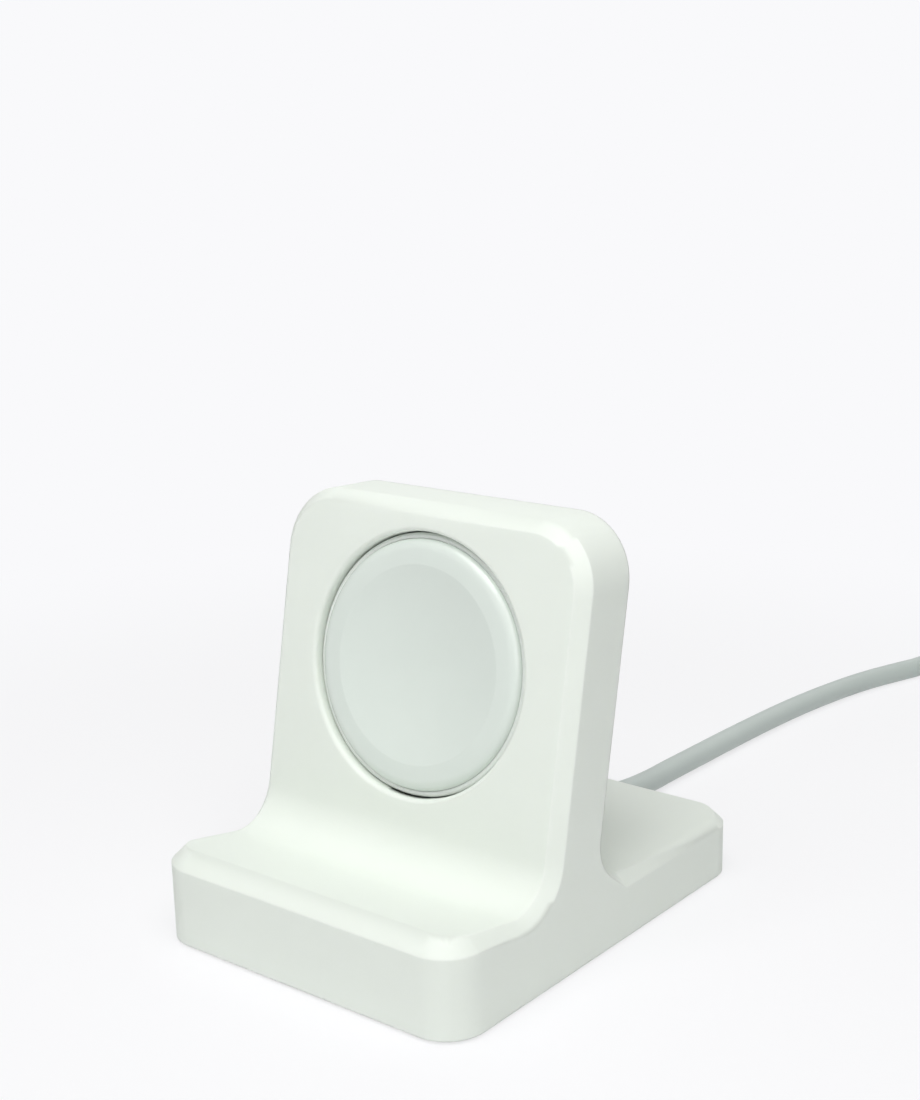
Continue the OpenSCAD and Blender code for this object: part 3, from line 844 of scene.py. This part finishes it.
@dataclass
class Puck:
    """The round charging puck in the upright: cap, shell and what is inside.

    Attributes:
        face: The plane that the puck is set in.
        height: The puck's middle, up that plane.
        recess: How far the cap's flat ring lies behind the plane.
        cap_radius: The cap's outer radius.
        rim_width: Width of the cap's rounded rim.
        rim_drop: How far the rim falls to its outer edge.
        dish_radius: Radius of the hollow for the watch's back.
        dish_depth: The hollow's depth at its middle.
        dish_edge: Width of the small round at the hollow's edge, on the hollow's side.
        edge_run: Width of that round on the ring's side, in dish edges.
        skirt: Depth of the cap's skirt behind its front.
        skirt_wall: The skirt's thickness.
        cap_wall: The front's thickness.
        under_share: Share of the hollow's radius that the cap's back follows.
        dish_steps, edge_steps, flat_steps, rim_steps, under_steps: Steps that draw the hollow,
            its edge, the flat ring, the rim and the back in the half section.
        sides: Steps that draw a full turn.
        fold_deg: Angle over which an edge of the cap stays crisp.
    """

    face: LeaningFace = field(default_factory=LeaningFace)
    height: float = 29.7
    recess: float = 0.2
    cap_radius: float = 13.39
    rim_width: float = 1.24
    rim_drop: float = 0.85
    dish_radius: float = 10.65
    dish_depth: float = 1.2
    dish_edge: float = 0.06
    edge_run: float = 1.3
    skirt: float = 2.2
    skirt_wall: float = 0.9
    cap_wall: float = 0.8
    under_share: float = 0.9
    dish_steps: int = 24
    edge_steps: int = 5
    flat_steps: int = 4
    rim_steps: int = 12
    under_steps: int = 6
    sides: int = 192
    fold_deg: float = 35.0

    def build(self) -> None:
        """Builds the cap and dresses the other pieces of the puck."""
        cap = self.revolve("puck_cap_moulding", self.cap_profile())
        seat(cap, CAP_POLYCARBONATE, "cap_gloss", "puck_cap")
        LOG.info("puck cap built")
        dressed = {
            "puck_shell": SHELL_POLYCARBONATE,
            "charging_coil": WINDING_COPPER,
            "ferrite_ring": FERRITE,
            "centre_magnet": MAGNET_NICKEL,
            "shield_plate": SHIELD_STEEL,
            "puck_board": BOARD_LAMINATE,
            "board_chips": CHIP_EPOXY,
            "puck_gland": GLAND_ELASTOMER,
        }
        for name, finish in dressed.items():
            finish.put_on(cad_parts[name])
            LOG.info("%s dressed", name)

    def ball_radius(self) -> float:
        """Radius of the ball that the hollow is cut with."""
        return (self.dish_radius**2 + self.dish_depth**2) / (2 * self.dish_depth)

    def cap_profile(self) -> list[tuple[float, float]]:
        """Draws the cap's half section, from the hollow's middle outwards and back behind it.

        Returns:
            Radius and height over the cap's flat ring of each point.
        """
        ball = self.ball_radius()
        centre = ball - self.dish_depth
        points = [(0.0, -self.dish_depth)]
        last = math.asin((self.dish_radius - self.dish_edge) / ball)
        for i in range(1, self.dish_steps + 1):
            angle = last * i / self.dish_steps
            points.append((ball * math.sin(angle), centre - ball * math.cos(angle)))
        lip = points[-1]
        corner = (self.dish_radius, 0.0)
        flat_start = self.dish_radius + self.dish_edge * self.edge_run
        for i in range(1, self.edge_steps + 1):
            t = i / self.edge_steps
            points.append(
                tuple(
                    (1 - t) ** 2 * a + 2 * t * (1 - t) * b + t * t * c
                    for a, b, c in zip(lip, corner, (flat_start, 0.0))
                )
            )
        flat_end = self.cap_radius - self.rim_width
        for i in range(1, self.flat_steps):
            points.append((flat_start + (flat_end - flat_start) * i / self.flat_steps, 0.0))
        for i in range(self.rim_steps + 1):
            angle = math.radians(90 - 90 * i / self.rim_steps)
            points.append(
                (
                    flat_end + self.rim_width * math.cos(angle),
                    self.rim_drop * (math.sin(angle) - 1),
                )
            )
        inner = self.cap_radius - self.skirt_wall
        points += [(self.cap_radius, -self.skirt), (inner, -self.skirt), (inner, -self.cap_wall)]
        back = ball + self.cap_wall
        for i in range(self.under_steps, -1, -1):
            radius = self.dish_radius * self.under_share * i / self.under_steps
            points.append((radius, centre - math.sqrt(back**2 - radius**2)))
        return points

    def revolve(self, name: str, profile: Sequence[tuple[float, float]]) -> bpy.types.Object:
        """Turns a half section round the puck's axis.

        Args:
            name: The piece's name.
            profile: Radius and height of each point; the first and last lie on the axis.

        Returns:
            The piece, in its place.
        """
        shape = bmesh.new()
        rings: list[list[bmesh.types.BMVert]] = []
        step = 2 * math.pi / self.sides
        for radius, height in profile:
            rings.append(
                [
                    shape.verts.new(
                        (radius * math.cos(i * step), radius * math.sin(i * step), height)
                    )
                    for i in range(self.sides if radius else 1)
                ]
            )
        for one, two in zip(rings, rings[1:]):
            for i in range(self.sides):
                j = (i + 1) % self.sides
                corners = [
                    one[i % len(one)],
                    two[i % len(two)],
                    two[j % len(two)],
                    one[j % len(one)],
                ]
                shape.faces.new(list(dict.fromkeys(corners)))
        bmesh.ops.recalc_face_normals(shape, faces=shape.faces)
        piece = link_mesh(name, shape, self.face.matrix(self.height, -self.recess))
        fold_crisply(piece, self.fold_deg)
        return piece


class CoilStep(Enum):
    """What the coil does where it changes: how many pitches it goes outwards and upwards."""

    INWARD = (-1, 0)
    OUTWARD = (1, 0)
    UPWARD = (0, 1)


@dataclass
class Lead:
    """The lead from the stand to its plug, with the spare length coiled beside the plug.

    Attributes:
        diameter: The lead's diameter.
        coil_centre: The coil's middle on the floor, along X and Y.
        coil_radius: Radius of its outer turns.
        pitch: Distance between turns, and between layers.
        low: Height of the lead's middle in the lowest layer.
        start_deg: Direction from the coil's middle to where it starts, its left side.
        total_deg: How far it turns in all.
        shifts: Degrees turned at which it changes, and what it does there.
        shift_deg: Degrees that a change takes.
        step_deg: Degrees from one point of the coil to the next.
        route: Points from the rear foot to the coil.
        tail: Points from the coil to the plug.
        sub_steps: Steps of the smooth line from one point to the next.
        sides: Steps that draw the lead's round.
        fold_deg: Angle over which an edge of the lead's skin stays crisp: those of its ends.
    """

    diameter: float = 2.9
    coil_centre: tuple[float, float] = (27.0, 123.0)
    coil_radius: float = 18.5
    pitch: float = 3.0
    low: float = 1.5
    start_deg: int = 180
    total_deg: int = 2700
    shifts: tuple[tuple[float, CoilStep], ...] = (
        (272, CoilStep.INWARD),
        (616, CoilStep.UPWARD),
        (960, CoilStep.OUTWARD),
        (1304, CoilStep.UPWARD),
        (1648, CoilStep.INWARD),
        (1992, CoilStep.UPWARD),
        (2336, CoilStep.OUTWARD),
    )
    shift_deg: float = 60.0
    step_deg: int = 15
    route: tuple[Point, ...] = (
        (0, 26.25, 2.5), (0, 28.5, 2.5), (0, 32, 2.25), (0, 36, 1.8), (0, 40, 1.55),
        (0, 45, 1.5), (0.2, 51, 1.5), (0.4, 58, 1.5), (0.7, 65, 1.5), (1.2, 73, 1.5),
        (2, 80.5, 1.5), (3.2, 88, 1.5), (4.6, 94, 1.5), (6.2, 99, 1.5), (7.6, 103, 1.5),
        (8.4, 106.5, 1.5), (8.5, 109, 1.5), (8.5, 112, 1.5),
    )
    tail: tuple[Point, ...] = (
        (45.5, 112, 10.5), (45.5, 110.5, 10.5), (45.6, 107.5, 9.9), (45.8, 104.5, 8.5),
        (45.9, 101, 6.6), (46, 97.5, 4.9), (46, 94.5, 4.1), (46, 92.8, 4), (46, 91.5, 4),
    )
    sub_steps: int = 3
    sides: int = 20
    fold_deg: float = 60.0

    def build(self) -> None:
        """Builds the lead's free run and dresses its held run and its plug."""
        line = self.centreline()
        run = self.tube("lead_free_run", line)
        seat(run, JACKET_ELASTOMER, "cable_jacket", "cable", "cable_coil", "plug_tail")
        finishes = {
            "plug_grip": GRIP_POLYCARBONATE,
            "plug_mouth": MOUTH_STEEL,
            "plug_tongue": TONGUE_POLYMER,
            "plug_contacts": CONTACT_GOLD,
        }
        plug = [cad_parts[name] for name in finishes]
        for piece, finish in zip(plug, finishes.values()):
            finish.put_on(piece)
        JACKET_ELASTOMER.put_on(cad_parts["held_lead"])

    def coil(self) -> list[Point]:
        """Winds the spare length clockwise, turn beside turn and layer on layer.

        Returns:
            The coil's points.
        """
        points: list[Point] = []
        for turned in range(0, self.total_deg + 1, self.step_deg):
            radius, level = self.coil_radius, self.low
            for start, step in self.shifts:
                share = eased(min(1.0, max(0.0, (turned - start) / self.shift_deg)))
                outwards, upwards = step.value
                radius += outwards * self.pitch * share
                level += upwards * self.pitch * share
            angle = math.radians(self.start_deg - turned)
            points.append(
                (
                    self.coil_centre[0] + radius * math.cos(angle),
                    self.coil_centre[1] + radius * math.sin(angle),
                    level,
                )
            )
        return points

    def centreline(self) -> list[Vector]:
        """Lays one smooth line through the route, the coil and the tail.

        Returns:
            Its points in millimetres, on a Catmull-Rom curve.
        """
        knots = [Vector(point) for point in (*self.route, *self.coil(), *self.tail)]
        ends = [2 * knots[0] - knots[1], *knots, 2 * knots[-1] - knots[-2]]
        line: list[Vector] = []
        for before, start, end, after in zip(ends, ends[1:], ends[2:], ends[3:]):
            for i in range(self.sub_steps):
                t = i / self.sub_steps
                line.append(
                    0.5
                    * (
                        2 * start
                        + (end - before) * t
                        + (2 * before - 5 * start + 4 * end - after) * t**2
                        + (3 * start - before - 3 * end + after) * t**3
                    )
                )
        return line + [knots[-1]]

    def tube(self, name: str, line: Sequence[Vector]) -> bpy.types.Object:
        """Lays a round tube of the lead's diameter along a line.

        Args:
            name: The piece's name.
            line: The centreline's points in millimetres.

        Returns:
            The tube, closed at both ends.
        """
        shape = bmesh.new()
        rings: list[list[bmesh.types.BMVert]] = []
        radius = self.diameter / 2
        turns = [2 * math.pi * k / self.sides for k in range(self.sides)]
        across = Vector((0, 0, 1))
        for i, place in enumerate(line):
            ahead = (line[min(i + 1, len(line) - 1)] - line[max(i - 1, 0)]).normalized()
            across = (across - across.dot(ahead) * ahead).normalized()
            aside = ahead.cross(across)
            rings.append(
                [
                    shape.verts.new(place + radius * (math.cos(a) * across + math.sin(a) * aside))
                    for a in turns
                ]
            )
        for one, two in zip(rings, rings[1:]):
            for k in range(self.sides):
                n = (k + 1) % self.sides
                shape.faces.new((one[k], one[n], two[n], two[k]))
        shape.faces.new(rings[0][::-1])
        shape.faces.new(rings[-1])
        bmesh.ops.recalc_face_normals(shape, faces=shape.faces)
        piece = link_mesh(name, shape, Matrix.Scale(MM, 4))
        fold_crisply(piece, self.fold_deg)
        return piece


@dataclass(frozen=True)
class SoftBox:
    """A square lamp behind white cloth.

    Attributes:
        name: The lamp's name.
        azimuth: Degrees round the object, from its front towards its right side.
        elevation: Degrees over the floor.
        power: Its power in watts.
        side: Side of the cloth.
        distance: Distance from the point that it is turned to.
        colour: Colour of its light.
    """

    name: str
    azimuth: float
    elevation: float
    power: float
    side: float = 280.0
    distance: float = 450.0
    colour: str = "#ffffff"

    def light(self, aim: Point) -> None:
        """Hangs the lamp and turns it to a point.

        Args:
            aim: The point, in millimetres.
        """
        away = heading(self.azimuth, self.elevation)
        data = bpy.data.lights.new(self.name, "AREA")
        data.shape = "SQUARE"
        data.size = self.side * MM
        data.energy = self.power
        data.color = linear(self.colour)[:3]
        lamp = bpy.data.objects.new(self.name, data)
        lamp.location = (Vector(aim) + self.distance * away) * MM
        lamp.rotation_euler = away.to_track_quat("Z", "Y").to_euler()
        bpy.context.scene.collection.objects.link(lamp)


@dataclass
class Studio:
    """Camera, lamps, paper floor and the light of the room.

    Attributes:
        azimuth: The camera's degrees round the object, from its front towards its right side.
        elevation: The camera's degrees over the floor.
        roll: Degrees that the camera is turned about its view.
        focal_px: Its focal length in pixels of the photograph.
        shift_px: How far the frame's middle lies above the camera's axis, in those pixels.
        aim: The point that the lamps are turned to and the camera is placed from.
        offset: Where that point lies from the camera: to its right, up, and in front of it.
        sensor: The camera's sensor along the frame's longer side.
        clip_near: Nearest distance that the camera shows.
        clip_far: Farthest distance that the camera shows.
        room_light: Strength of the room's even light.
        room_tone: Its colour.
        floor_half: Half of the paper's side.
        floor_under: How far the paper lies under the pad, so that the two don't coincide.
        lamps: The lamps.
    """

    azimuth: float = 38.891
    elevation: float = 15.608
    roll: float = -1.263
    focal_px: float = 1725.732
    shift_px: float = 50.0
    aim: Point = (0.0, -6.25, 20.3)
    offset: Point = (-4.4524, -15.6249, 184.102)
    sensor: float = 36.0
    clip_near: float = 10.0
    clip_far: float = 20000.0
    room_light: float = 0.13
    room_tone: str = "#ffffff"
    floor_half: float = 3000.0
    floor_under: float = 0.02
    lamps: tuple[SoftBox, ...] = (
        SoftBox("front_softbox", 0, 60, 0.88),
        SoftBox("right_softbox", 60, 60, 0.7),
        SoftBox("top_softbox", 0, 90, 0.34),
        SoftBox("corner_softbox", 45, 25, 0.35),
        SoftBox("left_softbox", -45, 25, 0.03),
        SoftBox("rear_softbox", 180, 25, 0.15),
    )

    def camera(self) -> None:
        """Sets the camera at the photograph's viewing angle."""
        back = heading(self.azimuth, self.elevation)
        bearing, roll = math.radians(self.azimuth), math.radians(self.roll)
        level = Vector((math.cos(bearing), math.sin(bearing), 0))
        upright = back.cross(level)
        right = level * math.cos(roll) + upright * math.sin(roll)
        up = upright * math.cos(roll) - level * math.sin(roll)
        data = bpy.data.cameras.new("view")
        data.sensor_width = self.sensor
        data.lens = self.focal_px * self.sensor / IMAGE_HEIGHT
        data.shift_y = self.shift_px / IMAGE_HEIGHT
        data.clip_start, data.clip_end = self.clip_near * MM, self.clip_far * MM
        to_right, to_top, in_front = self.offset
        eye = Vector(self.aim) - right * to_right - up * to_top + back * in_front
        turn = Matrix((right, up, back)).transposed().to_4x4()
        camera = bpy.data.objects.new("view", data)
        camera.matrix_world = Matrix.Translation(eye * MM) @ turn
        bpy.context.scene.collection.objects.link(camera)
        bpy.context.scene.camera = camera
        LOG.info("camera set")

    def build(self) -> None:
        """Builds the paper floor, the lamps and the room."""
        self.sweep()
        for lamp in self.lamps:
            lamp.light(self.aim)
        self.room()
        bpy.context.scene.view_settings.view_transform = "Standard"
        LOG.info("studio lit")

    def sweep(self) -> None:
        """Lays the floor of pale paper, a hair under the pad."""
        shape = bmesh.new()
        half, under = self.floor_half * MM, -self.floor_under * MM
        corners = ((-half, -half), (half, -half), (half, half), (-half, half))
        shape.faces.new([shape.verts.new((x, y, under)) for x, y in corners])
        floor = link_mesh("paper_floor", shape)
        PAPER.put_on(floor)
        floor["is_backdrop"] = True

    def room(self) -> None:
        """Gives the world its even light and, to the camera, the paper's tone."""
        world = bpy.data.worlds.new("room")
        bpy.context.scene.world = world
        world.use_nodes = True
        tree = world.node_tree
        tree.nodes.clear()
        light = add_node(
            tree,
            "ShaderNodeBackground",
            None,
            {"Color": linear(self.room_tone), "Strength": self.room_light},
        )
        seen = add_node(
            tree, "ShaderNodeBackground", None, {"Color": linear(PAPER.tone), "Strength": 1.0}
        )
        mixed = add_node(
            tree,
            "ShaderNodeMixShader",
            None,
            {0: shown_directly(tree), 1: light.outputs[0], 2: seen.outputs[0]},
        )
        add_node(tree, "ShaderNodeOutputWorld", None, {"Surface": mixed.outputs[0]})


def box_numbers() -> list[list[float]]:
    """Measures the shown object's box.

    Returns:
        Its lowest and its highest corner, in metres.
    """
    bpy.context.view_layer.update()
    low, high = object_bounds()
    return [[round(v, SIZE_DECIMALS) for v in low], [round(v, SIZE_DECIMALS) for v in high]]


def main() -> None:
    """Builds the scene in order."""
    logging.basicConfig(level=logging.INFO, format="%(message)s")
    frame_box = box_numbers()
    studio = Studio()
    studio.camera()
    Lead().build()
    Stand().build()
    Puck().build()
    studio.build()
    {"frame": frame_box, "visual": box_numbers()}
    LOG.info("sizes written")


if __name__ == "__main__":
    main()
